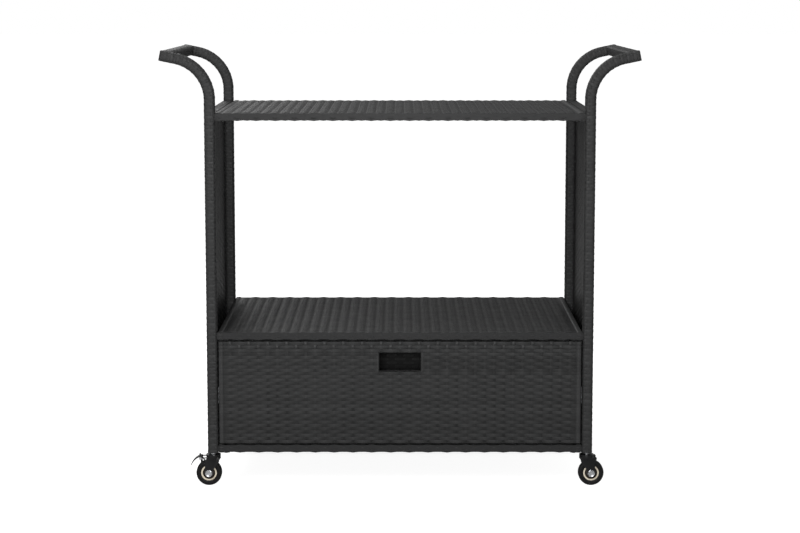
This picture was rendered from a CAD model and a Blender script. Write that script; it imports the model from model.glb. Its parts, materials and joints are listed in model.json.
"""Woven serving trolley on casters: its strands, hardware and finishes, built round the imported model.

Everything is in metres in the model's frame: +X from handle to handle, -Y towards the drawer, +Z up.
"""

import json
import logging
import math
from dataclasses import dataclass, field, replace
from enum import Enum

import bmesh
import bpy
import numpy as np
from mathutils import Matrix, Vector


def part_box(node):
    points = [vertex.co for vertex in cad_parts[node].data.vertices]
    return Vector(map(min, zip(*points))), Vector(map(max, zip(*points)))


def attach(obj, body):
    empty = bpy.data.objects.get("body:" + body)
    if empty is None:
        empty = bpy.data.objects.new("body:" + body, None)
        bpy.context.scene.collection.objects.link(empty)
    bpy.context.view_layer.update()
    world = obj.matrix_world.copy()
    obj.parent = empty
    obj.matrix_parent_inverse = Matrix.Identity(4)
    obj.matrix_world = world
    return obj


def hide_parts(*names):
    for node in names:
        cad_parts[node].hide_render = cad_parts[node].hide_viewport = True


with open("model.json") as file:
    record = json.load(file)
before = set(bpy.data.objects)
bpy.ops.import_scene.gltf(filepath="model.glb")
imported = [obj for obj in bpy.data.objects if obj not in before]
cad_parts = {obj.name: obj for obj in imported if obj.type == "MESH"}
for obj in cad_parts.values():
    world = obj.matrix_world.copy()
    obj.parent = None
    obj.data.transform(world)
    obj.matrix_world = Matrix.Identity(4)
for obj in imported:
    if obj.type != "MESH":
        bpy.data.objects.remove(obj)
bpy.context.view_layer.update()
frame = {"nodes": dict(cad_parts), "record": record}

LOG = logging.getLogger("trolley")
MM = 0.001
X_AXIS, Y_AXIS, Z_AXIS = Vector((1, 0, 0)), Vector((0, 1, 0)), Vector((0, 0, 1))
PLACES = ("front_left", "front_right", "rear_left", "rear_right")
SEAM_ANGLE = math.radians(48)   # edges sharper than this stay crisp


class Slot(Enum):
    """The record's material slots."""

    RATTAN = "rattan"
    FRAME_STEEL = "frame_steel"
    SLIDE_STEEL = "slide_steel"
    ZINC = "zinc"
    CASTER_STEEL = "black_caster_steel"
    TYRE = "tyre"
    CREAM = "cream_plastic"
    PLUG = "black_plastic"


# ---- node trees ----


class Tree:
    """A node tree being written, for a material or for geometry."""

    def __init__(self, tree: bpy.types.NodeTree) -> None:
        """Keeps the tree that nodes are added to."""
        self.tree = tree

    def add(self, kind: str, feeds: dict | None = None, **settings: object) -> bpy.types.Node:
        """Adds a node and feeds its sockets.

        Args:
            kind: the node's type name.
            feeds: for each input's name or number, a value or another node's output.
            settings: the node's own properties.

        Returns:
            The new node.
        """
        node = self.tree.nodes.new(kind)
        for name, value in settings.items():
            setattr(node, name, value)
        self.feed(node, feeds or {})
        return node

    def feed(self, node: bpy.types.Node, feeds: dict) -> None:
        """Gives a node's inputs, by name or number, values or other nodes' outputs."""
        for key, value in feeds.items():
            if isinstance(value, bpy.types.NodeSocket):
                self.tree.links.new(value, node.inputs[key])
            else:
                node.inputs[key].default_value = value

    def out(self, kind: str, feeds: dict | None = None, **settings: object) -> bpy.types.NodeSocket:
        """Adds a node and returns its first output."""
        return self.add(kind, feeds, **settings).outputs[0]

    def math(self, operation: str, *values: object) -> bpy.types.NodeSocket:
        """Adds a Math node on the given values or outputs."""
        return self.out("ShaderNodeMath", dict(enumerate(values)), operation=operation)

    def spread(self, value: object, to_low: float, to_high: float, low: float = 0.3,
               high: float = 0.7) -> bpy.types.NodeSocket:
        """Maps a value, by default a noise's usual range, to another range, held at its ends."""
        return self.out("ShaderNodeMapRange", {0: value, 1: low, 2: high, 3: to_low, 4: to_high})

    def attribute(self, name: str) -> bpy.types.NodeSocket:
        """One of the mesh's own attributes."""
        return self.add("ShaderNodeAttribute", attribute_name=name).outputs["Fac"]

    def place(self) -> bpy.types.NodeSocket:
        """The shaded point's place in the object."""
        return self.add("ShaderNodeTexCoord").outputs["Object"]

    def join(self, *parts: bpy.types.NodeSocket) -> bpy.types.NodeSocket:
        """Joins geometries into one, in their order."""
        joined = self.add("GeometryNodeJoinGeometry")
        for part in parts:
            self.tree.links.new(part, joined.inputs[0])
        return joined.outputs[0]


# ---- finishes ----


@dataclass(frozen=True)
class Finish:
    """What every finish has: its name, its colour and how rough it is."""

    name: str
    color: tuple[float, float, float]
    roughness: float = 0.5
    metallic: float = 0.0
    specular: float = 0.5

    def start(self) -> tuple[bpy.types.Material, Tree, bpy.types.Node]:
        """Makes the material with its shader.

        Returns:
            The material, its node tree and its Principled shader.
        """
        material = bpy.data.materials.new(self.name)
        material.use_nodes = True
        tree = Tree(material.node_tree)
        shader = material.node_tree.nodes["Principled BSDF"]
        tree.feed(shader, {"Base Color": (*self.color, 1), "Roughness": self.roughness,
                           "Metallic": self.metallic, "Specular IOR Level": self.specular})
        return material, tree, shader

    def shades(self, tree: Tree, amount: object, light: float, dark: float) -> bpy.types.NodeSocket:
        """Mixes a darker and a lighter tone of the finish's colour.

        Args:
            tree: the material's tree.
            amount: how far towards the lighter tone, from 0 to 1.
            light: what the colour is multiplied by at 1.
            dark: what it is multiplied by at 0.

        Returns:
            The mixed colour.
        """
        tones = [(*(min(1.0, channel * factor) for channel in self.color), 1) for factor in (dark, light)]
        mix = tree.add("ShaderNodeMix", {0: amount, 6: tones[0], 7: tones[1]}, data_type="RGBA")
        return mix.outputs[2]

    def build(self) -> bpy.types.Material:
        """Makes the finish's material."""
        raise NotImplementedError


@dataclass(frozen=True)
class WickerFinish(Finish):
    """Black synthetic wicker: satin strands with fine lengthwise streaks, each a slightly different tone."""

    streaks_across: float = 1500.0
    streaks_along: float = 26.0
    patch_scale: float = 34.0
    light: float = 1.8
    dark: float = 0.25
    shadow: float = 0.3     # how much darker the strands are where they dip under their neighbours

    def build(self) -> bpy.types.Material:
        """Makes the material, which reads each strand's own attributes."""
        material, tree, shader = self.start()
        along, across, shade, sunk = (tree.attribute(name) for name in ("along", "across", "shade", "sunk"))
        place = tree.out("ShaderNodeCombineXYZ", {
            0: tree.math("MULTIPLY", along, self.streaks_along),
            1: tree.math("MULTIPLY", across, self.streaks_across),
            2: tree.math("MULTIPLY", shade, 41.0)})
        streak = tree.out("ShaderNodeTexNoise", {
            "Vector": place, "Scale": 1.0, "Detail": 3.0, "Roughness": 0.6})
        patch = tree.out("ShaderNodeTexNoise", {
            "Vector": tree.place(), "Scale": self.patch_scale, "Detail": 2.0})
        tone = tree.math("ADD", tree.spread(shade, 0.42, 0.6, 0, 1), tree.spread(streak, -0.07, 0.07))
        tone = tree.math("ADD", tone, tree.spread(patch, -0.04, 0.04))
        tone = tree.math("SUBTRACT", tone, tree.math("MULTIPLY", sunk, self.shadow))
        gloss = tree.math("ADD", tree.spread(streak, -0.06, 0.06), tree.spread(patch, -0.04, 0.04))
        bump = tree.out("ShaderNodeBump", {"Height": streak, "Strength": 0.35, "Distance": 0.12 * MM})
        tree.feed(shader, {"Base Color": self.shades(tree, tone, self.light, self.dark),
                           "Roughness": tree.math("ADD", gloss, self.roughness), "Normal": bump})
        return material


@dataclass(frozen=True)
class GrainedFinish(Finish):
    """A finish whose tone, gloss and bump follow one noise, stretched along an axis if need be."""

    grain: tuple[float, float, float] = (900.0, 900.0, 900.0)
    detail: float = 2.0
    light: float = 1.1
    dark: float = 0.9
    gloss_change: float = 0.05
    bump: float = 0.2
    bump_height: float = 0.05 * MM

    def build(self) -> bpy.types.Material:
        """Makes the material from Object coordinates."""
        material, tree, shader = self.start()
        place = tree.out("ShaderNodeMapping", {"Vector": tree.place(), "Scale": self.grain})
        noise = tree.out("ShaderNodeTexNoise", {"Vector": place, "Scale": 1.0, "Detail": self.detail})
        tone = self.shades(tree, tree.spread(noise, 0.0, 1.0), self.light, self.dark)
        change = tree.spread(noise, -self.gloss_change, self.gloss_change)
        bump = tree.out("ShaderNodeBump", {
            "Height": noise, "Strength": self.bump, "Distance": self.bump_height})
        tree.feed(shader, {"Base Color": tone, "Roughness": tree.math("ADD", change, self.roughness),
                           "Normal": bump})
        return material


@dataclass(frozen=True)
class HubFinish(Finish):
    """Cream moulding at the rim and dark, greased moulding inside it, told apart by an attribute."""

    inside: tuple[float, float, float] = (0.035, 0.026, 0.02)

    def build(self) -> bpy.types.Material:
        """Makes the material."""
        material, tree, shader = self.start()
        noise = tree.out("ShaderNodeTexNoise", {"Vector": tree.place(), "Scale": 170.0, "Detail": 2.0})
        cream = self.shades(tree, tree.spread(noise, 0.0, 1.0), 1.04, 0.94)
        mix = tree.add("ShaderNodeMix", {0: tree.attribute("rim"), 6: (*self.inside, 1), 7: cream},
                       data_type="RGBA")
        gloss = tree.spread(noise, self.roughness - 0.05, self.roughness + 0.08)
        tree.feed(shader, {"Base Color": mix.outputs[2], "Roughness": gloss})
        return material


FINISHES: dict[Slot, Finish] = {
    Slot.RATTAN: WickerFinish("black_wicker", (0.031, 0.0312, 0.0314), roughness=0.46, specular=0.2),
    Slot.FRAME_STEEL: GrainedFinish(
        "black_powder_coat", (0.014, 0.014, 0.0145), roughness=0.48, specular=0.3, bump=0.35),
    Slot.SLIDE_STEEL: GrainedFinish(
        "pressed_slide_steel", (0.5, 0.51, 0.53), roughness=0.36, metallic=1.0,
        grain=(1400.0, 14.0, 1400.0)),
    Slot.ZINC: GrainedFinish(
        "bright_zinc", (0.62, 0.63, 0.65), roughness=0.27, metallic=1.0, grain=(420.0, 420.0, 420.0),
        bump=0.1),
    Slot.CASTER_STEEL: GrainedFinish(
        "black_caster_coat", (0.007, 0.007, 0.0075), roughness=0.34, specular=0.28,
        grain=(600.0, 600.0, 600.0), bump=0.12),
    Slot.TYRE: GrainedFinish(
        "black_rubber", (0.007, 0.007, 0.0073), roughness=0.52, specular=0.2, grain=(300.0, 300.0, 300.0),
        detail=5.0, bump=0.3),
    Slot.CREAM: HubFinish("cream_hub", (0.78, 0.7, 0.56), roughness=0.36),
    Slot.PLUG: GrainedFinish("black_moulding", (0.014, 0.014, 0.014), roughness=0.55, specular=0.3),
}


class Palette:
    """Builds each finish once and hands its material out."""

    def __init__(self) -> None:
        """Builds every finish's material."""
        self.materials = {slot: finish.build() for slot, finish in FINISHES.items()}

    def dress(self, piece: bpy.types.Object, slot: Slot) -> None:
        """Gives a piece one finish and nothing else."""
        piece.data.materials.clear()
        piece.data.materials.append(self.materials[slot])

    def dress_nodes(self) -> int:
        """Dresses every CAD node that is still shown.

        Returns:
            How many nodes were dressed.
        """
        slots = {part["node"]: Slot(part["material_slot"]) for part in frame["record"]["subparts"]}
        shown = [node for node in frame["nodes"].values() if not node.hide_render]
        for node in shown:
            self.dress(node, slots[node.name])
        return len(shown)


# ---- finishing a piece ----


def add_object(name: str, mesh: bpy.types.Mesh) -> bpy.types.Object:
    """Puts a mesh in the scene as an object at the origin."""
    piece = bpy.data.objects.new(name, mesh)
    bpy.context.scene.collection.objects.link(piece)
    return piece


def join_meshes(meshes: list[bpy.types.Mesh], name: str) -> bpy.types.Mesh:
    """Joins meshes into one and removes the parts.

    Args:
        meshes: the meshes to join, in one frame.
        name: the joined mesh's name.

    Returns:
        The joined mesh.
    """
    parts = [add_object(f"{name}_part_{i}", mesh) for i, mesh in enumerate(meshes)]
    with bpy.context.temp_override(
            active_object=parts[0], selected_objects=parts, selected_editable_objects=parts):
        bpy.ops.object.join()
    whole = parts[0].data
    bpy.data.objects.remove(parts[0])
    whole.name = name
    return whole


def settle(name: str, meshes: list[bpy.types.Mesh], body: str, slot: Slot, palette: Palette,
           nodes: tuple[str, ...], smooth: bool = True) -> bpy.types.Object:
    """Joins meshes into one finished piece that rides on a body.

    Args:
        name: the piece's name.
        meshes: its meshes, in the model's frame.
        body: the body that it rides on.
        slot: the finish's slot.
        palette: where the finish comes from.
        nodes: the CAD nodes that it stands for.
        smooth: whether rounded faces are shaded smooth.

    Returns:
        The finished piece.
    """
    mesh = join_meshes(meshes, name) if len(meshes) > 1 else meshes[0]
    if smooth:
        mesh.shade_smooth()
        mesh.set_sharp_from_angle(angle=SEAM_ANGLE)
    piece = add_object(name, mesh)
    palette.dress(piece, slot)
    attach(piece, body)
    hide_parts(*nodes)
    LOG.info("%s: %d faces on %s", name, len(mesh.polygons), body)
    return piece


# ---- strands ----


@dataclass(frozen=True)
class StrandEnd:
    """How a strand finishes at one edge: a wrapped band, a turn over the edge and a run down the side.

    A plain end, with no drop, is cut off at the edge.
    """

    band: float = 0.0
    sink: float = 0.0
    corner: float = 2.2 * MM
    drop: float = 0.0
    tuck: float = 0.0
    groove: float = 4.9 * MM
    spare: float = 1.5 * MM

    @property
    def taken(self) -> float:
        """Length next to the edge that the weave doesn't reach."""
        beside_band = self.groove if self.band else 0.0
        return self.band + beside_band + (self.corner + self.spare if self.drop else 0.0)


PLAIN = StrandEnd()


@dataclass(frozen=True)
class Strand:
    """The flat plastic strand: its section, and the weave that it makes with the stakes.

    How sunk a point is runs from 0 on a strand's crest to 1 where it dips deepest. A gleam lightens
    the crests.
    """

    pitch: float = 6.83 * MM
    width: float = 6.95 * MM
    thickness: float = 1.0 * MM
    lift: float = 1.12 * MM
    stake_pitch: float = 19.9 * MM
    stake_width: float = 6.6 * MM
    stake_thickness: float = 0.75 * MM
    stake_depth: float = 0.55 * MM
    crest: tuple[tuple[float, float], ...] = ((0.0, 1.0), (0.17, 0.62), (0.5, 0.0), (0.83, -0.62))
    stake_sunk: float = 0.85
    gleam: float = 0.0
    turn_steps: int = 3

    @property
    def middle(self) -> float:
        """Depth of the weave's middle under its outer face."""
        return self.thickness / 2 + self.lift

    def finish(self, end: StrandEnd, edge: float, depth: float) -> list[tuple[float, float, float]]:
        """Points of one strand's end, outwards from the weave: distance along, height and how sunk it is.

        Args:
            end: how the strand finishes.
            edge: distance from the middle to the face that it turns down.
            depth: depth of the strand's middle under the outer face where it crosses the band.

        Returns:
            The points, none of them for a plain end.
        """
        if not end.drop:
            return [(edge, -depth, 0.0)]
        inner = edge - depth - end.corner
        points = []
        if end.band:
            groove = edge - end.band - end.corner
            points += [(groove - 1.8 * MM, -depth - end.sink, 0.9), (groove, -depth - end.sink, 0.9)]
            points += [(groove + 1.2 * MM, -depth - 0.4 * MM, 0.1), (groove + 3.0 * MM, -depth, 0.0)]
        angles = [math.pi / 2 * i / self.turn_steps for i in range(self.turn_steps + 1)]
        centre = -depth - end.corner
        points += [(inner + end.corner * math.sin(a), centre + end.corner * math.cos(a), 0.0)
                   for a in angles]
        if not end.tuck:
            return points + [(edge - depth, -end.drop, 0.3)]
        centre = -end.drop + depth + end.corner
        points += [(inner + end.corner * math.cos(a), centre - end.corner * math.sin(a), 0.0)
                   for a in angles]
        return points + [(edge - end.tuck, -end.drop + depth, 0.3)]

    def low_finish(self, end: StrandEnd, edge: float, depth: float) -> list[tuple[float, float, float]]:
        """Points of one strand's lower end, towards the weave, as finish gives them for the upper one."""
        return [(-x, z, sunk) for x, z, sunk in reversed(self.finish(end, -edge, depth))]

    def row(self, low: float, high: float, low_end: StrandEnd, high_end: StrandEnd, odd: bool) -> np.ndarray:
        """The route of one strand over and under the stakes.

        Args:
            low: where its lower edge is, along the strand.
            high: where its upper edge is.
            low_end: how it finishes at the lower edge.
            high_end: how it finishes at the upper edge.
            odd: whether it goes under the stakes that its neighbours go over.

        Returns:
            Points along and out and how sunk each is, the first at the lower edge.
        """
        start = low + low_end.taken + low_end.spare
        stop = high - high_end.taken - high_end.spare
        field_points = []
        for i in range(math.floor(low / self.stake_pitch), math.floor(high / self.stake_pitch) + 1):
            over = 1 if (i + odd) % 2 else -1
            for part, rise in self.crest:
                x, height = (i + part) * self.stake_pitch, rise * over
                if start < x < stop:
                    sunk = (1 - height) / 2 - self.gleam * (height == 1)
                    field_points.append((x, self.lift * height - self.middle, sunk))
        depth = self.thickness / 2
        low_points = self.low_finish(low_end, low, depth)
        high_points = self.finish(high_end, high, depth)
        if not low_end.drop:
            low_points = [(low, *field_points[0][1:])]
        if not high_end.drop:
            high_points = [(high, *field_points[-1][1:])]
        return np.array(low_points + field_points + high_points)

    def stake(self, low: float, high: float, low_end: StrandEnd, high_end: StrandEnd) -> np.ndarray:
        """The route of a stake, which runs straight through the middle of the weave."""
        depth = self.middle + self.stake_depth
        points = np.array(self.low_finish(low_end, low, depth) + self.finish(high_end, high, depth))
        points[points[:, 1] > -depth - 0.01 * MM, 2] = self.stake_sunk
        return points

    def sweep(self, route: np.ndarray, width: float, thickness: float, closed: bool = False,
              across: bool = False, crown: float = 0.82) -> bpy.types.Mesh:
        """Sweeps a crowned flat section along a flat route.

        Args:
            route: points along and out of the surface, each with how sunk it is.
            width: the section's width.
            thickness: the section's thickness.
            closed: whether the route is a ring.
            across: whether the route runs along Y instead of X.
            crown: how thick the section's edges are, as a share of its thickness.

        Returns:
            A closed mesh with the attributes along, across and sunk.
        """
        route, sunk = route[:, :2], route[:, 2]
        ahead = np.roll(route, -1, 0) - route
        behind = route - np.roll(route, 1, 0)
        if not closed:
            ahead[-1], behind[0] = behind[-1], ahead[0]
        ahead, behind = (way / np.linalg.norm(way, axis=1)[:, None] for way in (ahead, behind))
        heading = ahead + behind
        heading /= np.linalg.norm(heading, axis=1)[:, None]
        outward = np.stack([-heading[:, 1], heading[:, 0]], 1)
        edge = thickness * (crown - 0.5)
        section = [(-width / 2, -thickness / 2), (width / 2, -thickness / 2), (width / 2, edge),
                   (width / 5, thickness / 2), (-width / 5, thickness / 2), (-width / 2, edge)]
        count, sides = len(route), len(section)
        points = np.zeros((count, sides, 3))
        for k, (side, rise) in enumerate(section):
            flat = route + outward * rise
            points[:, k, 0], points[:, k, 2], points[:, k, 1] = flat[:, 0], flat[:, 1], side
        if across:
            points = points[:, :, [1, 0, 2]] * [-1, 1, 1]
        faces = []
        for i in range(count if closed else count - 1):
            a, b = i * sides, (i + 1) % count * sides
            faces += [(a + k, b + k, b + (k + 1) % sides, a + (k + 1) % sides) for k in range(sides)]
        if not closed:
            faces += [tuple(range(sides)), tuple((count - 1) * sides + k for k in reversed(range(sides)))]
        mesh = bpy.data.meshes.new("strand")
        mesh.from_pydata(points.reshape(-1, 3).tolist(), [], faces)
        self.outside_out(mesh)
        length = np.concatenate([[0], np.cumsum(np.linalg.norm(np.diff(route, axis=0), axis=1))])
        values = {"along": np.repeat(length, sides), "across": np.tile([s for s, _ in section], count),
                  "sunk": np.repeat(sunk, sides)}
        for name, data in values.items():
            mesh.attributes.new(name, "FLOAT", "POINT").data.foreach_set("value", data.astype(np.float32))
        return mesh

    @staticmethod
    def outside_out(mesh: bpy.types.Mesh) -> None:
        """Turns a closed mesh's faces outwards."""
        work = bmesh.new()
        work.from_mesh(mesh)
        bmesh.ops.recalc_face_normals(work, faces=work.faces)
        work.to_mesh(mesh)
        work.free()


# ---- geometry trees that repeat strands ----


class Repeater:
    """A geometry tree with named inputs, and what runs it once to a plain mesh."""

    name = "repeater"
    sockets: tuple[tuple[str, str], ...] = ()
    shared: dict[str, bpy.types.NodeTree] = {}

    @classmethod
    def tree(cls) -> bpy.types.NodeTree:
        """The tree, built the first time that it is asked for."""
        if cls.name not in cls.shared:
            tree = bpy.data.node_groups.new(cls.name, "GeometryNodeTree")
            for name, kind in (("Geometry", "NodeSocketGeometry"), *cls.sockets):
                tree.interface.new_socket(name, in_out="INPUT", socket_type=kind)
            tree.interface.new_socket("Geometry", in_out="OUTPUT", socket_type="NodeSocketGeometry")
            writer = Tree(tree)
            given = writer.add("NodeGroupInput").outputs
            result = cls.write(writer, given)
            result = writer.out("GeometryNodeRealizeInstances", {"Geometry": result})
            result = writer.out("GeometryNodeSetMaterial", {"Geometry": result, "Material": given["Finish"]})
            writer.add("NodeGroupOutput", {"Geometry": result})
            cls.shared[cls.name] = tree
        return cls.shared[cls.name]

    @classmethod
    def write(cls, writer: Tree, given: bpy.types.NodeOutputs) -> bpy.types.NodeSocket:
        """Writes the tree's own nodes and returns the geometry before it is realised."""
        raise NotImplementedError

    @staticmethod
    def stamp(writer: Tree, points: object, given: bpy.types.NodeOutputs, names: tuple[str, str],
              turn: object = None) -> bpy.types.NodeSocket:
        """Puts two shapes on points by turns, each with its own tone and a slight shift.

        Args:
            writer: the tree being written.
            points: the points' geometry.
            given: the tree's inputs.
            names: the inputs that hold the even and the odd shape.
            turn: a rotation for each point.

        Returns:
            The instances.
        """
        index = writer.out("GeometryNodeInputIndex")
        odd = writer.math("MODULO", writer.math("ADD", index, given["First"]), 2.0)
        laid = []
        for name, pick in zip(names, (writer.math("SUBTRACT", 1.0, odd), odd)):
            shape = writer.add("GeometryNodeObjectInfo", {"Object": given[name]}).outputs["Geometry"]
            feeds = {"Points": points, "Selection": pick, "Instance": shape}
            if turn is not None:
                feeds["Rotation"] = turn
            laid.append(writer.out("GeometryNodeInstanceOnPoints", feeds))
        away = writer.out("ShaderNodeVectorMath", {0: (1.0, 1.0, 0.25), 3: given["Looseness"]},
                          operation="SCALE")
        back = writer.out("ShaderNodeVectorMath", {0: away, 3: -1.0}, operation="SCALE")
        shift = writer.out("FunctionNodeRandomValue", {0: back, 1: away, "Seed": given["Seed"]},
                           data_type="FLOAT_VECTOR")
        moved = writer.out("GeometryNodeTranslateInstances", {
            "Instances": writer.join(*laid), "Translation": shift})
        tone = writer.add("FunctionNodeRandomValue", {"Seed": given["Seed"]}, data_type="FLOAT").outputs[1]
        return writer.out("GeometryNodeStoreNamedAttribute", {
            "Geometry": moved, "Name": "shade", "Value": tone}, data_type="FLOAT", domain="INSTANCE")

    @classmethod
    def run(cls, values: dict[str, object], start: bpy.types.Mesh | None = None) -> bpy.types.Mesh:
        """Runs the tree once.

        Args:
            values: a value for each named input.
            start: the mesh that the tree starts from, if it uses one.

        Returns:
            The result as a plain mesh.
        """
        tree = cls.tree()
        holder = add_object("holder", start or bpy.data.meshes.new("holder"))
        modifier = holder.modifiers.new(cls.name, "NODES")
        modifier.node_group = tree
        for item in tree.interface.items_tree:
            if item.in_out == "INPUT" and item.name in values:
                modifier[item.identifier] = values[item.name]
        bpy.context.view_layer.update()
        result = holder.evaluated_get(bpy.context.evaluated_depsgraph_get())
        mesh = bpy.data.meshes.new_from_object(result)
        holder.modifiers.remove(modifier)
        bpy.data.objects.remove(holder)
        return mesh


class WovenRows(Repeater):
    """Rows of two alternating strands, with stakes laid through them."""

    name = "woven_rows"
    sockets = (
        ("Even Strand", "NodeSocketObject"), ("Odd Strand", "NodeSocketObject"),
        ("Stake", "NodeSocketObject"), ("Rows", "NodeSocketInt"), ("Row Pitch", "NodeSocketFloat"),
        ("First", "NodeSocketInt"),
        ("Stakes", "NodeSocketInt"), ("Stake Pitch", "NodeSocketFloat"), ("Stake Start", "NodeSocketFloat"),
        ("Looseness", "NodeSocketFloat"), ("Seed", "NodeSocketInt"), ("Finish", "NodeSocketMaterial"))

    @classmethod
    def write(cls, writer: Tree, given: bpy.types.NodeOutputs) -> bpy.types.NodeSocket:
        """Writes a line of rows along Y and a line of stakes along X."""
        spans = writer.math("SUBTRACT", given["Rows"], 1.0)
        half = writer.math("MULTIPLY", writer.math("MULTIPLY", spans, given["Row Pitch"]), -0.5)
        laid = []
        for axis, count, start, pitch, names in (
                (1, "Rows", half, "Row Pitch", ("Even Strand", "Odd Strand")),
                (0, "Stakes", given["Stake Start"], "Stake Pitch", ("Stake", "Stake"))):
            line = writer.out("GeometryNodeMeshLine", {
                "Count": given[count],
                "Start Location": writer.out("ShaderNodeCombineXYZ", {axis: start}),
                "Offset": writer.out("ShaderNodeCombineXYZ", {axis: given[pitch]})}, mode="OFFSET")
            laid.append(cls.stamp(writer, line, given, names))
        return writer.join(*laid)


class WoundRings(Repeater):
    """Two alternating rings wound along a path, with stakes swept along the same path."""

    name = "wound_rings"
    sockets = (
        ("Even Ring", "NodeSocketObject"), ("Odd Ring", "NodeSocketObject"), ("Rings", "NodeSocketInt"),
        ("First", "NodeSocketInt"), ("Stake Reach", "NodeSocketFloat"), ("Stake Width", "NodeSocketFloat"),
        ("Stake Thickness", "NodeSocketFloat"), ("Looseness", "NodeSocketFloat"), ("Seed", "NodeSocketInt"),
        ("Finish", "NodeSocketMaterial"))

    @classmethod
    def write(cls, writer: Tree, given: bpy.types.NodeOutputs) -> bpy.types.NodeSocket:
        """Writes rings at even spaces along the path and one stake on each of its four sides."""
        path = writer.out("GeometryNodeMeshToCurve", {"Mesh": given["Geometry"]})
        spots = writer.add("GeometryNodeCurveToPoints", {"Curve": path, "Count": given["Rings"]},
                           mode="COUNT")
        turn = writer.out("FunctionNodeAxesToRotation", {
            "Primary Axis": spots.outputs["Tangent"], "Secondary Axis": spots.outputs["Normal"]},
            primary_axis="Z", secondary_axis="X")
        rings = cls.stamp(writer, spots.outputs["Points"], given, ("Even Ring", "Odd Ring"), turn)
        bar = writer.out("GeometryNodeCurvePrimitiveQuadrilateral", {
            "Width": given["Stake Thickness"], "Height": given["Stake Width"]})
        away = writer.out("ShaderNodeCombineXYZ", {0: given["Stake Reach"]})
        bar = writer.out("GeometryNodeTransform", {"Geometry": bar, "Translation": away})
        sides = [writer.out("GeometryNodeTransform", {
            "Geometry": bar, "Rotation": (0, 0, quarter * math.pi / 2)}) for quarter in range(4)]
        stakes = writer.out("GeometryNodeCurveToMesh", {
            "Curve": path, "Profile Curve": writer.join(*sides), "Fill Caps": True})
        return writer.join(rings, stakes)


# ---- woven faces ----


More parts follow.
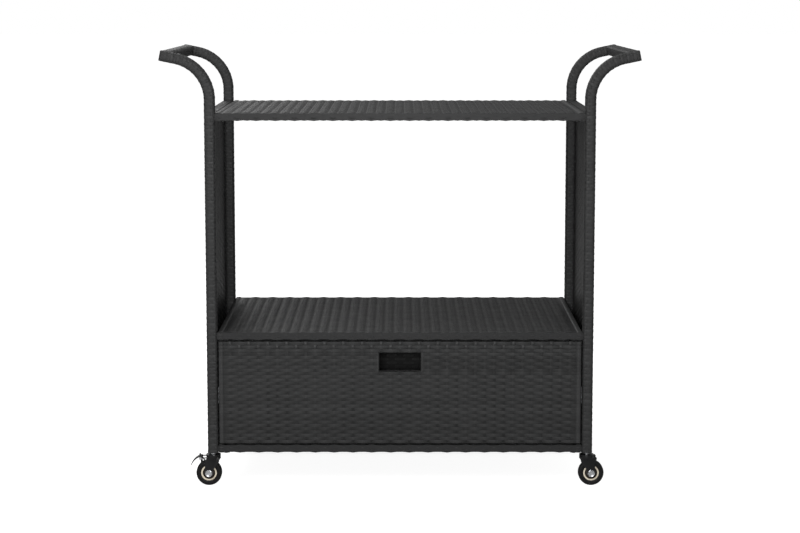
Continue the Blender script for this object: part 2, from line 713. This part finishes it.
@dataclass
class Weaver:
    """Weaves flat faces and winds tubes, and counts what it has made so that no two look the same."""

    palette: Palette
    strand: Strand = field(default_factory=Strand)
    looseness: float = 0.1 * MM
    seed: int = 0

    def repeat(self, kind: type[Repeater], shapes: dict[str, bpy.types.Mesh], values: dict[str, object],
               first: int = 0, start: bpy.types.Mesh | None = None) -> bpy.types.Mesh:
        """Runs a repeating tree with a seed of its own.

        Args:
            kind: the tree.
            shapes: the shape for each of its object inputs.
            values: its sizes and counts.
            first: 0 or 1, for which of the two shapes comes first.
            start: the mesh that it starts from, if it uses one.

        Returns:
            What the tree makes.
        """
        self.seed += 1
        held = {name: add_object("shape", mesh) for name, mesh in shapes.items()}
        mesh = kind.run({**held, **values, "First": first, "Looseness": self.looseness, "Seed": self.seed,
                         "Finish": self.palette.materials[Slot.RATTAN]}, start)
        for shape in held.values():
            bpy.data.objects.remove(shape)
        return mesh

    @staticmethod
    def lay(mesh: bpy.types.Mesh, centre: Vector, along: Vector, outward: Vector) -> bpy.types.Mesh:
        """Turns a flat weave's X along and its Z outward, and moves it to its centre."""
        turn = Matrix((along, outward.cross(along), outward)).transposed().to_4x4()
        mesh.transform(Matrix.Translation(centre) @ turn)
        return mesh

    def face(self, centre: Vector, along: Vector, outward: Vector, span: tuple[float, float], height: float,
             ends: tuple[StrandEnd, StrandEnd] = (PLAIN, PLAIN),
             stake_ends: tuple[StrandEnd, StrandEnd] | None = None,
             first: int = 0, margin: float = 0.0) -> bpy.types.Mesh:
        """Weaves one flat face.

        Args:
            centre: the middle of the outer face.
            along: the way that the strands run.
            outward: the way that the face looks.
            span: where each row starts and stops, measured along from the centre.
            height: the face's size across the strands.
            ends: how the rows finish at the start and at the stop of the span.
            stake_ends: how the stakes finish at each side, or None where the face has no stakes.
            first: 0 or 1, for which of the two strands the first row has.
            margin: what is left bare at each side, across the strands.

        Returns:
            The woven face in the model's frame.
        """
        strand, room = self.strand, height - 2 * margin
        rows = max(1, round(room / strand.pitch))
        pitch = room / rows
        width = strand.width * min(1.0, pitch / strand.pitch)
        even, odd = (strand.sweep(strand.row(*span, *ends, odd), width, strand.thickness)
                     for odd in (False, True))
        stake = strand.sweep(strand.stake(-height / 2, height / 2, *(stake_ends or (PLAIN, PLAIN))),
                             strand.stake_width, strand.stake_thickness, across=True)
        low = math.ceil((span[0] + ends[0].taken + strand.stake_width / 2) / strand.stake_pitch)
        high = math.floor((span[1] - ends[1].taken - strand.stake_width / 2) / strand.stake_pitch)
        mesh = self.repeat(WovenRows, {"Even Strand": even, "Odd Strand": odd, "Stake": stake}, {
            "Rows": rows, "Row Pitch": pitch, "Stakes": high - low + 1 if stake_ends else 0,
            "Stake Pitch": strand.stake_pitch, "Stake Start": low * strand.stake_pitch}, first)
        return self.lay(mesh, centre, along, outward)

    def tabs(self, centre: Vector, along: Vector, outward: Vector, places: tuple[int, int], offset: float,
             height: float, stand: float) -> bpy.types.Mesh:
        """Lays the turned ends of every second stake over one row.

        Args:
            centre: the middle of the row's outer face.
            along: the way that the row runs.
            outward: the way that the row looks.
            places: the first and last stake, counted in pairs from the centre.
            offset: shift of the first stake along the row, in stakes.
            height: length of each turned end.
            stand: how far it stands out from the row's outer face.

        Returns:
            The turned ends in the model's frame.
        """
        strand, half = self.strand, height / 2
        route = np.array([(-half, -1.1 * MM, 0.3), (-half * 0.72, stand * 0.5, -0.6), (0.0, stand, -0.8),
                          (half * 0.72, stand * 0.5, -0.6), (half, -1.1 * MM, 0.3)])
        shape = strand.sweep(route, strand.stake_width * 0.7, strand.stake_thickness, across=True)
        pitch = 2 * strand.stake_pitch
        mesh = self.repeat(WovenRows, dict.fromkeys(("Even Strand", "Odd Strand", "Stake"), shape), {
            "Rows": 0, "Row Pitch": pitch, "Stakes": places[1] - places[0] + 1, "Stake Pitch": pitch,
            "Stake Start": places[0] * pitch + offset * strand.stake_pitch})
        return self.lay(mesh, centre, along, outward)

    def sleeve(self, low: Vector, high: Vector, along: Vector, sides: tuple[Vector, ...],
               margin: float = 1.2 * MM) -> list[bpy.types.Mesh]:
        """Wraps some sides of a bar with strands that run along it.

        Args:
            low: the bar's lowest corner over the weave.
            high: its highest corner.
            along: the bar's direction, +X or +Y.
            sides: the outward direction of each side to wrap.
            margin: what is left bare beside each edge.

        Returns:
            One mesh for each side.
        """
        centre, half = (low + high) / 2, (high - low) / 2
        reach = abs(half.dot(along))
        meshes = []
        for outward in sides:
            height = 2 * abs(half.dot(outward.cross(along)))
            middle = centre + outward * abs(half.dot(outward))
            meshes.append(self.face(middle, along, outward, (-reach, reach), height,
                                    stake_ends=(PLAIN, PLAIN), margin=margin, first=len(meshes)))
        return meshes

    def ring(self, side: float, bulge: float, sunk: float) -> bpy.types.Mesh:
        """One turn of strand round a square tube.

        Args:
            side: width over the turn's middle.
            bulge: how far it stands out at the middle of each side.
            sunk: how far it lies under its neighbours, from 0 to 1.

        Returns:
            The turn, round Z at the origin.
        """
        strand, corner = self.strand, 3.8 * MM
        flat = side / 2 - corner
        quarter = [(side / 2, -flat, 0.3), (side / 2 + bulge * 0.5, -flat / 2, sunk),
                   (side / 2 + bulge, 0.0, sunk), (side / 2 + bulge * 0.5, flat / 2, sunk),
                   (side / 2, flat, 0.3)]
        quarter.append((flat + corner * math.cos(math.pi / 4), flat + corner * math.sin(math.pi / 4), 0.75))
        route = []
        for turn in range(4):
            c, s = round(math.cos(turn * math.pi / 2)), round(math.sin(turn * math.pi / 2))
            route += [(x * c - y * s, x * s + y * c, low) for x, y, low in quarter]
        mesh = strand.sweep(
            np.array(route)[::-1], strand.width * 0.93, strand.thickness, closed=True, crown=0.7)
        mesh.transform(Matrix.Rotation(math.pi / 2, 4, "X"))
        return mesh

    def wind(self, path: list[Vector], side: float) -> bpy.types.Mesh:
        """Winds strands round a square tube, with a stake under and over the turns on each side.

        Args:
            path: the tube's middle line.
            side: the tube's width over the weave.

        Returns:
            The wound weave.
        """
        strand = self.strand
        length = sum((b - a).length for a, b in zip(path, path[1:]))
        start = bpy.data.meshes.new("path")
        start.from_pydata([tuple(p) for p in path], [(i, i + 1) for i in range(len(path) - 1)], [])
        over, under = (self.ring(side - strand.thickness - less, bulge, sunk)
                       for less, bulge, sunk in ((0.3 * MM, 0.35 * MM, -0.1), (0.8 * MM, -0.5 * MM, 0.35)))
        return self.repeat(WoundRings, {"Even Ring": over, "Odd Ring": under}, {
            "Rings": round(length / strand.pitch) + 1,
            "Stake Reach": side / 2 - strand.thickness / 2 + 0.1 * MM,
            "Stake Width": 0.8 * strand.stake_width, "Stake Thickness": 0.6 * MM}, start=start)


@dataclass
class Deck:
    """A woven deck: its field, its wrapped rails and the ends that turn under its end tubes."""

    level: str
    rail: float = 23 * MM
    band: float = 9.0 * MM
    sink: float = 1.6 * MM
    gleam: float = 0.5
    lean_up: float = 0.5
    lean_down: float = 0.25

    def build(self, weaver: Weaver) -> bpy.types.Object:
        """Weaves the deck and stands it for its node."""
        node = f"{self.level}_deck_weave"
        low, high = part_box(node)
        centre, size = (low + high) / 2, high - low
        half = size.x / 2
        end = StrandEnd(band=self.band, sink=self.sink, drop=size.z, tuck=self.rail)
        side = StrandEnd(drop=size.z, tuck=self.rail)
        rim = StrandEnd(band=self.band, sink=self.sink, drop=size.z * 0.9)
        top = Vector((centre.x, centre.y, high.z))
        bright = replace(weaver, strand=replace(weaver.strand, gleam=self.gleam))
        meshes = [bright.face(top, X_AXIS, Z_AXIS, (-half, half), size.y, (end, end), (side, side),
                              margin=1.6 * MM)]
        for outward in (-Y_AXIS, Y_AXIS):
            for rise, lean in ((1, self.lean_up), (-1, self.lean_down)):
                look = (outward + Z_AXIS * rise * lean).normalized()
                row = size.z / 2 - 0.9 * MM
                edge = Vector((centre.x, centre.y + outward.y * (size.y / 2 - row / 2 * lean),
                               centre.z + rise * row / 2))
                meshes.append(weaver.face(edge, -outward.cross(Z_AXIS), look, (-half, half), row, (rim, rim),
                                          first=rise > 0, margin=1.5 * MM))
            under = Vector((centre.x, centre.y + outward.y * (size.y - self.rail) / 2, low.z))
            meshes.append(weaver.face(under, X_AXIS, -Z_AXIS, (-half, half), self.rail, (rim, rim),
                                      margin=1.0 * MM))
            inner = Vector((centre.x, centre.y + outward.y * (size.y / 2 - self.rail), centre.z - 0.8 * MM))
            reach = half - self.rail
            meshes.append(weaver.face(inner, outward.cross(Z_AXIS), -outward, (-reach, reach),
                                      size.z - 1.6 * MM, margin=0.6 * MM))
        return settle(f"{self.level}_deck_wicker", meshes, "cart_frame", Slot.RATTAN, weaver.palette,
                      (node,))


@dataclass
class Sheet:
    """A flat woven panel, seen from both sides, with rims wrapped round the bars that it hangs on."""

    node: str
    body: str
    normal: Vector
    along: Vector
    reach_in: float = 0.0
    lift: float = 0.72 * MM

    def build(self, weaver: Weaver, low: Vector, high: Vector,
              sleeves: list[bpy.types.Mesh] | None = None) -> bpy.types.Object:
        """Weaves the panel.

        Args:
            weaver: what weaves it.
            low: the panel's lowest corner.
            high: its highest corner.
            sleeves: meshes of its rims.

        Returns:
            The finished piece.
        """
        centre, half = (low + high) / 2, (high - low) / 2
        reach = abs(half.dot(self.along)) + self.reach_in
        height = 2 * abs(half.dot(self.normal.cross(self.along)))
        weaver = replace(weaver, strand=replace(weaver.strand, lift=self.lift, stake_depth=0.0))
        face = weaver.face(centre + self.normal * weaver.strand.middle, self.along, self.normal,
                           (-reach, reach), height, stake_ends=(PLAIN, PLAIN))
        name = self.node.replace("weave", "wicker")
        return settle(name, [face, *(sleeves or [])], self.body, Slot.RATTAN, weaver.palette,
                      (self.node,))


@dataclass
class DrawerFront:
    """The drawer's woven front, with the finger cut-out and its lining."""

    cutout_width: float = 87.6 * MM
    cutout_height: float = 41.5 * MM
    cutout_drop: float = 23.5 * MM
    band: float = 8.0 * MM
    sink: float = 1.4 * MM

    def build(self, weaver: Weaver) -> bpy.types.Object:
        """Weaves both faces, the edges and the lining of the cut-out."""
        node = "drawer_front_weave"
        low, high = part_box(node)
        centre, size = (low + high) / 2, high - low
        half, gap = size.x / 2, self.cutout_width / 2
        edge = StrandEnd(band=self.band, sink=self.sink, drop=size.y / 2)
        over = StrandEnd(drop=size.y / 2)
        hole_top = high.z - self.cutout_drop
        hole_low = hole_top - self.cutout_height
        meshes = []
        for outward in (-Y_AXIS, Y_AXIS):
            along = -outward.cross(Z_AXIS)
            y = centre.y + outward.y * size.y / 2
            whole, beside = ((-half, half, edge, edge),), ((-half, -gap, edge, over), (gap, half, over, edge))
            for bottom, top, spans, stops in ((hole_top, high.z, whole, (PLAIN, over)),
                                              (hole_low, hole_top, beside, (PLAIN, PLAIN)),
                                              (low.z, hole_low, whole, (over, PLAIN))):
                for start, stop, *ends in spans:
                    meshes.append(weaver.face(
                        Vector((0, y, (bottom + top) / 2)), along, outward, (start, stop), top - bottom,
                        tuple(ends), stops, first=len(meshes)))
        meshes += weaver.sleeve(low, high, X_AXIS, (Z_AXIS, -Z_AXIS))
        pairs = int((half - self.band) / (2 * weaver.strand.stake_pitch)) - 1
        for row, offset in ((0, 0), (1, 1)):
            place = Vector((0, low.y, high.z - (row + 0.55) * weaver.strand.pitch))
            meshes.append(weaver.tabs(place, X_AXIS, -Y_AXIS, (-pairs - 1, pairs + 1 - offset), offset,
                                      weaver.strand.pitch, 0.25 * MM))
        for z, outward in ((hole_top, -Z_AXIS), (hole_low, Z_AXIS)):
            meshes.append(weaver.face(Vector((0, centre.y, z)), X_AXIS, outward, (-gap, gap), size.y,
                                      stake_ends=(PLAIN, PLAIN), margin=1.2 * MM))
        return settle("drawer_front_wicker", meshes, "drawer", Slot.RATTAN, weaver.palette, (node,))


@dataclass
class Canes:
    """The four wrapped legs, each bent outwards into one end of a handle, and the two wrapped handles."""

    bend_start: float = 0.819
    bend_radius: float = 0.087
    bend_angle: float = math.radians(78.4)
    grip_run: float = 0.033
    bend_steps: int = 28

    def path(self, foot: float, run: float) -> list[Vector]:
        """The middle line of a leg that leans towards +X, from its foot at the origin's X and Y.

        Args:
            foot: height of its lower end.
            run: length of its last straight stretch.

        Returns:
            The line's points.
        """
        points = [Vector((0, 0, foot)), Vector((0, 0, (foot + self.bend_start) / 2))]
        for i in range(self.bend_steps + 1):
            turn = self.bend_angle * i / self.bend_steps
            points.append(Vector((self.bend_radius * (1 - math.cos(turn)), 0,
                                  self.bend_start + self.bend_radius * math.sin(turn))))
        heading = Vector((math.sin(self.bend_angle), 0, math.cos(self.bend_angle)))
        return [*points, points[-1] + heading * run]

    def build(self, weaver: Weaver) -> None:
        """Winds every leg and both handles."""
        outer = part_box("right_side_weave")[1].x
        low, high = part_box("front_right_leg_weave")
        width = high.y - low.y
        for place in PLACES:
            node = f"{place}_leg_weave"
            low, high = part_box(node)
            side = 1 if "right" in place else -1
            middle = Vector((side * (outer - width / 2), (low.y + high.y) / 2, 0))
            half = weaver.strand.width / 2
            lean = Matrix.Diagonal((side, 1, 1, 1))
            points = [lean @ p + middle for p in self.path(low.z + half, self.grip_run - half - 1 * MM)]
            mesh = weaver.wind(points, width)
            tip = lean @ self.path(0, self.grip_run)[-1] + middle
            out = Vector((side * math.sin(self.bend_angle), 0, math.cos(self.bend_angle)))
            over = StrandEnd(drop=2.4 * MM, corner=1.2 * MM)
            cap = weaver.face(tip, Y_AXIS * side, out, (-width / 2, width / 2), width, (over, over),
                              margin=0.8 * MM)
            settle(f"{place}_leg_wicker", [mesh, cap], "cart_frame", Slot.RATTAN, weaver.palette, (node,))
        for name, side in (("left", -1), ("right", 1)):
            node = f"{name}_handle_weave"
            low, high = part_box(node)
            middle = (low + high) / 2
            half = weaver.strand.width / 2
            line = [Vector((0, y, 0)) for y in (low.y + half, 0, high.y - half)]
            mesh = weaver.wind(line, width)
            turn = Matrix.Rotation(side * self.bend_angle, 4, "Y")
            mesh.transform(Matrix.Translation((middle.x, 0, middle.z)) @ turn)
            settle(f"{name}_handle_wicker", [mesh], "cart_frame", Slot.RATTAN, weaver.palette, (node,))


@dataclass
class Sides:
    """The two woven ends between the legs, with their wrapped rails."""

    reach_in: float = 5 * MM

    def build(self, weaver: Weaver) -> None:
        """Weaves both ends."""
        thickness = 3 * MM
        decks = [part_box(f"{level}_deck_weave") for level in ("top", "bottom")]
        for name, side in (("left", -1), ("right", 1)):
            node = f"{name}_side_weave"
            low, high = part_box(node)
            out = X_AXIS * side
            outer = high.x if side > 0 else low.x
            sleeves = []
            for deck_low, deck_high in decks:
                rail = (Vector((low.x, low.y, deck_low.z)), Vector((high.x, high.y, deck_high.z)))
                sleeves += weaver.sleeve(*rail, Y_AXIS, (Z_AXIS, -out, -Z_AXIS))
            flat = sorted((outer, outer - side * thickness))
            Sheet(node, "cart_frame", out, Y_AXIS * side, self.reach_in).build(
                weaver, Vector((flat[0], low.y, low.z)), Vector((flat[1], high.y, high.z)), sleeves)


@dataclass
class DrawerBox:
    """The drawer's woven walls and floor, with rims wrapped round its top bars."""

    thickness: float = 3 * MM
    rim_height: float = 13 * MM
    back_inset: float = 14 * MM
    open_strand: Strand = Strand(
        pitch=9.0 * MM, width=5.4 * MM, stake_width=19.6 * MM, stake_sunk=1.8, lift=0.8 * MM)

    def build(self, weaver: Weaver) -> None:
        """Weaves the two sides and the floor, and the back in a more open weave."""
        for name, side in (("left", -1), ("right", 1)):
            node = f"drawer_{name}_weave"
            low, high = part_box(node)
            outer = high.x if side > 0 else low.x
            flat = sorted((outer, outer - side * self.thickness))
            rim = weaver.sleeve(Vector((low.x, low.y, high.z - self.rim_height)), high, Y_AXIS,
                                (Z_AXIS, X_AXIS * -side, -Z_AXIS))
            Sheet(node, "drawer", X_AXIS * side, Y_AXIS * side).build(
                weaver, Vector((flat[0], low.y, low.z)), Vector((flat[1], high.y, high.z)), rim)
        low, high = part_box("drawer_back_weave")
        rim = weaver.sleeve(Vector((low.x + self.back_inset, low.y, high.z - self.rim_height)),
                            Vector((high.x - self.back_inset, high.y, high.z)), X_AXIS,
                            (Z_AXIS, -Y_AXIS, -Z_AXIS))
        opened = replace(weaver, strand=self.open_strand)
        Sheet("drawer_back_weave", "drawer", Y_AXIS, -X_AXIS).build(
            opened, Vector((low.x, high.y - self.thickness, low.z)), high, rim)
        low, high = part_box("drawer_floor_weave")
        Sheet("drawer_floor_weave", "drawer", Z_AXIS, X_AXIS).build(weaver, low, high)


# ---- hardware ----


class Shape:
    """Small meshes that hardware is made of."""

    @staticmethod
    def lathe(profile: list[tuple[float, float]], centre: Vector, steps: int = 72) -> bpy.types.Mesh:
        """Turns a closed profile of radius and place along Y round a line through a point.

        Args:
            profile: radius and place along Y, in order round the section.
            centre: the point that the line goes through.
            steps: how many sides the turned shape has.

        Returns:
            The turned shape.
        """
        count = len(profile)
        points, faces = [], []
        for i in range(steps):
            a = 2 * math.pi * i / steps
            points += [(centre.x + r * math.cos(a), centre.y + y, centre.z + r * math.sin(a))
                       for r, y in profile]
            here, after = i * count, (i + 1) % steps * count
            faces += [(here + k, here + (k + 1) % count, after + (k + 1) % count, after + k)
                      for k in range(count)]
        mesh = bpy.data.meshes.new("turned")
        mesh.from_pydata(points, [], faces)
        Strand.outside_out(mesh)
        return mesh

    @staticmethod
    def hex_head(flats: float, height: float, chamfer: float, collar: float) -> bpy.types.Mesh:
        """A hexagon head that stands on Z, its top chamfered to a circle, on a round washer collar.

        Args:
            flats: width over the flats.
            height: height of the head over its collar.
            chamfer: how much the corners lose at the top.
            collar: thickness of the washer under it.

        Returns:
            The closed head.
        """
        steps = 48
        corner = flats / 2 / math.cos(math.pi / 6)
        rings = [(corner * 1.02, 0.0, False), (corner * 1.02, collar, False), (corner, collar, True),
                 (corner, height - chamfer, True), (flats / 2, height, False),
                 (flats / 2 * 0.86, height, False), (flats / 2 * 0.78, height - 0.25 * MM, False)]
        points = []
        for radius, z, six in rings:
            for i in range(steps):
                a = 2 * math.pi * i / steps
                near = (a + math.pi / 6) % (math.pi / 3) - math.pi / 6
                r = min(radius, flats / 2 / math.cos(near)) if six else radius
                points.append((r * math.cos(a), r * math.sin(a), z))
        faces = [tuple(reversed(range(steps))), tuple(range(len(points) - steps, len(points)))]
        for k in range(len(rings) - 1):
            faces += [(k * steps + i, k * steps + (i + 1) % steps, (k + 1) * steps + (i + 1) % steps,
                       (k + 1) * steps + i) for i in range(steps)]
        mesh = bpy.data.meshes.new("hex_head")
        mesh.from_pydata(points, [], faces)
        Strand.outside_out(mesh)
        return mesh

    @staticmethod
    def softened(node: str, radius: float) -> bpy.types.Mesh:
        """A CAD node's mesh, merged and with its hard edges rounded.

        Args:
            node: the CAD node.
            radius: radius of the rounded edges.

        Returns:
            The softened mesh in the model's frame.
        """
        work = bmesh.new()
        work.from_mesh(frame["nodes"][node].data)
        bmesh.ops.remove_doubles(work, verts=work.verts, dist=1e-6)
        bmesh.ops.dissolve_limit(work, angle_limit=math.radians(1), verts=work.verts, edges=work.edges)
        mesh = bpy.data.meshes.new(node)
        work.to_mesh(mesh)
        work.free()
        holder = add_object("holder", mesh)
        bevel = holder.modifiers.new("edges", "BEVEL")
        bevel.width = radius
        bevel.segments = 2
        bevel.limit_method = "ANGLE"
        bevel.angle_limit = math.radians(38)
        bpy.context.view_layer.update()
        result = bpy.data.meshes.new_from_object(holder.evaluated_get(bpy.context.evaluated_depsgraph_get()))
        bpy.data.objects.remove(holder)
        return result


@dataclass
class Caster:
    """One caster: its stem nut, fork, wheel and, where it has one, its brake."""

    place: str
    rim_inner: float = 12.8 * MM
    hub_radius: float = 17 * MM
    bore: float = 4.0 * MM
    boss: float = 7 * MM
    head_flats: float = 12.5 * MM
    head_height: float = 4.5 * MM

    @property
    def centre(self) -> Vector:
        """The wheel's middle."""
        low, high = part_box(f"{self.place}_tyre")
        return (low + high) / 2

    def tyre_profile(self) -> list[tuple[float, float]]:
        """Radius and width round the tyre's section: soft shoulders and a moulded ring on each side."""
        low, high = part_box(f"{self.place}_tyre")
        radius, half = (high.z - low.z) / 2, (high.y - low.y) / 2
        shoulder = 3.4 * MM
        side = [(self.hub_radius + 0.05 * MM, half - 1.0 * MM), (18.6 * MM, half - 0.4 * MM),
                (20.6 * MM, half - 0.2 * MM), (21.0 * MM, half - 0.7 * MM), (21.8 * MM, half - 0.7 * MM),
                (22.2 * MM, half - 0.1 * MM)]
        arc = [(radius - shoulder * (1 - math.sin(a)), half - shoulder * (1 - math.cos(a)))
               for a in (math.pi / 2 * i / 6 for i in range(7))]
        upper = side + arc
        return upper + [(r, -y) for r, y in reversed(upper)]

    def hub_profile(self) -> list[tuple[float, float]]:
        """Radius and width round the hub's section: a rounded rim, a dished web and a boss."""
        low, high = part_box(f"{self.place}_wheel_hub")
        boss_half = (high.y - low.y) / 2
        rim, web = 7.5 * MM, 3.0 * MM
        upper = [(self.bore, boss_half), (self.boss - 0.5 * MM, boss_half), (self.boss, boss_half - 0.5 * MM),
                 (self.boss + 0.4 * MM, web + 0.6 * MM), (self.boss + 1.2 * MM, web),
                 (self.rim_inner - 1.6 * MM, web), (self.rim_inner - 0.6 * MM, web + 0.8 * MM),
                 (self.rim_inner, rim - 0.8 * MM), (self.rim_inner + 0.7 * MM, rim),
                 (self.hub_radius - 0.9 * MM, rim), (self.hub_radius - 0.3 * MM, rim - 0.2 * MM),
                 (self.hub_radius, rim - 0.6 * MM)]
        return upper + [(r, -y) for r, y in reversed(upper)]

    def bolt(self) -> list[bpy.types.Mesh]:
        """The axle bolt: its shank and a chamfered head at each end."""
        node = f"{self.place}_axle_bolt"
        low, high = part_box(node)
        centre = self.centre
        reach = (high.y - low.y) / 2 - self.head_height
        core, radius = 0.05 * MM, self.bore - 0.05 * MM
        shank = Shape.lathe([(core, reach), (radius, reach), (radius, -reach), (core, -reach)], centre, 32)
        meshes = [shank]
        for way in (-1, 1):
            head = Shape.hex_head(self.head_flats, self.head_height, 0.8 * MM, 0.7 * MM)
            turn = Matrix.Rotation(-way * math.pi / 2, 4, "X")
            head.transform(Matrix.Translation(centre + Y_AXIS * way * reach) @ turn)
            meshes.append(head)
        return meshes

    def build(self, palette: Palette) -> None:
        """Makes the caster's pieces."""
        swivel, wheel = f"{self.place}_swivel", f"{self.place}_wheel"
        centre = self.centre
        for part, profile, slot in (("tyre", self.tyre_profile(), Slot.TYRE),
                                    ("wheel_hub", self.hub_profile(), Slot.CREAM)):
            node = f"{self.place}_{part}"
            mesh = Shape.lathe(profile, centre)
            reach = np.array([math.hypot(v.co.x - centre.x, v.co.z - centre.z) for v in mesh.vertices])
            rim = (reach > self.rim_inner + 0.5 * MM) & (reach < self.hub_radius - 0.4 * MM)
            mesh.attributes.new("rim", "FLOAT", "POINT").data.foreach_set("value", rim.astype(np.float32))
            settle(f"{node}_moulding", [mesh], wheel, slot, palette, (node,))
        settle(f"{self.place}_hex_bolt", self.bolt(), swivel, Slot.ZINC, palette,
               (f"{self.place}_axle_bolt",))
        fork = f"{self.place}_caster_fork"
        settle(f"{self.place}_pressed_fork", [Shape.softened(fork, 0.45 * MM)], swivel, Slot.CASTER_STEEL,
               palette, (fork,))
        if "left" in self.place:
            pedal = f"{self.place}_brake_pedal"
            settle(f"{self.place}_pressed_pedal", [Shape.softened(pedal, 0.35 * MM)], f"{self.place}_brake",
                   Slot.CASTER_STEEL, palette, (pedal,))


# ---- studio ----


@dataclass(frozen=True)
class SoftLight:
    """One large soft light that looks at a point."""

    name: str
    place: tuple[float, float, float]
    aim: tuple[float, float, float]
    size: float
    power: float

    def build(self) -> None:
        """Puts the light in the scene."""
        data = bpy.data.lights.new(self.name, "AREA")
        data.shape = "DISK"
        data.size = self.size
        data.energy = self.power
        lamp = bpy.data.objects.new(self.name, data)
        lamp.location = self.place
        lamp.rotation_euler = (Vector(self.aim) - Vector(self.place)).to_track_quat("-Z", "Y").to_euler()
        bpy.context.scene.collection.objects.link(lamp)


@dataclass(frozen=True)
class Studio:
    """A pale floor, a white surround, soft lights and the camera."""

    lens: float = 82.171
    sensor: float = 36.0
    tilt: float = math.radians(6.595)
    distance: float = 3.7811
    front: float = -0.225
    height: float = 1.0424
    shift: float = -0.08
    surround: float = 0.26
    floor_glow: float = 0.9
    lights: tuple[SoftLight, ...] = (
        SoftLight("left_softbox", (-2.2, -2.6, 2.6), (0, 0, 0.5), 1.6, 50.0),
        SoftLight("top_softbox", (-0.2, -0.3, 3.0), (0, 0, 0.4), 2.0, 44.0),
        SoftLight("front_softbox", (-0.05, -3.6, 0.96), (0, 0, 0.3), 0.3, 42.0),
        SoftLight("back_softbox", (-1.4, 3.2, 2.4), (0, 0, 0.4), 2.0, 24.0),
    )

    def lit_and_seen(self, tree: Tree, lit: object, seen: object) -> bpy.types.NodeSocket:
        """One shader that lights the scene and another that shows as the plain backdrop."""
        direct = tree.add("ShaderNodeLightPath").outputs["Is Camera Ray"]
        return tree.out("ShaderNodeMixShader", {0: direct, 1: lit, 2: seen})

    def surroundings(self) -> bpy.types.World:
        """A white backdrop that gives only a little light."""
        world = bpy.data.worlds.new("surround")
        world.use_nodes = True
        tree = Tree(world.node_tree)
        world.node_tree.nodes.clear()
        lit, seen = (tree.out("ShaderNodeBackground", {"Color": (1, 1, 1, 1), "Strength": strength})
                     for strength in (self.surround, 1.0))
        tree.add("ShaderNodeOutputWorld", {"Surface": self.lit_and_seen(tree, lit, seen)})
        return world

    def floor(self) -> None:
        """Lays the pale floor, which runs out of sight into the backdrop and is clear from below."""
        reach = 40.0
        mesh = bpy.data.meshes.new("floor")
        mesh.from_pydata([(x * reach, y * reach, 0) for x, y in ((-1, -1), (1, -1), (1, 1), (-1, 1))], [],
                         [(0, 1, 2, 3)])
        material = bpy.data.materials.new("pale_floor")
        material.use_nodes = True
        tree = Tree(material.node_tree)
        material.node_tree.nodes.clear()
        matt = tree.out("ShaderNodeBsdfDiffuse", {"Color": (0.55, 0.55, 0.55, 1)})
        glow = tree.out("ShaderNodeEmission", {"Color": (1, 1, 1, 1), "Strength": self.floor_glow})
        above = tree.out("ShaderNodeAddShader", {0: matt, 1: glow})
        below = tree.out("ShaderNodeBsdfTransparent", {"Color": (1, 1, 1, 1)})
        side = tree.add("ShaderNodeNewGeometry").outputs["Backfacing"]
        seen = tree.out("ShaderNodeMixShader", {0: side, 1: above, 2: below})
        tree.add("ShaderNodeOutputMaterial", {"Surface": self.lit_and_seen(tree, matt, seen)})
        mesh.materials.append(material)
        add_object("floor", mesh)

    def camera(self) -> bpy.types.Object:
        """The camera, a little above the handles and looking slightly down."""
        data = bpy.data.cameras.new("camera")
        data.lens, data.sensor_width, data.shift_y = self.lens, self.sensor, self.shift
        camera = bpy.data.objects.new("camera", data)
        camera.location = (0, self.front - self.distance, self.height)
        camera.rotation_euler = (math.pi / 2 - self.tilt, 0, 0)
        return camera

    def build(self) -> None:
        """Builds the whole studio."""
        scene = bpy.context.scene
        scene.world = self.surroundings()
        scene.view_settings.view_transform = "Standard"
        scene.view_settings.look = "None"
        self.floor()
        for light in self.lights:
            light.build()
        scene.camera = self.camera()
        scene.collection.objects.link(scene.camera)


def main() -> None:
    """Builds the trolley and its studio."""
    logging.basicConfig(level=logging.INFO, format="%(message)s")
    palette = Palette()
    weaver = Weaver(palette)
    for level in ("top", "lower", "bottom"):
        Deck(level).build(weaver)
    DrawerFront().build(weaver)
    DrawerBox().build(weaver)
    Sides().build(weaver)
    low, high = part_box("back_weave")
    Sheet("back_weave", "cart_frame", Y_AXIS, -X_AXIS).build(weaver, low, high)
    Canes().build(weaver)
    for place in PLACES:
        Caster(place).build(palette)
    LOG.info("dressed %d nodes", palette.dress_nodes())
    Studio().build()


if __name__ == "__main__":
    main()
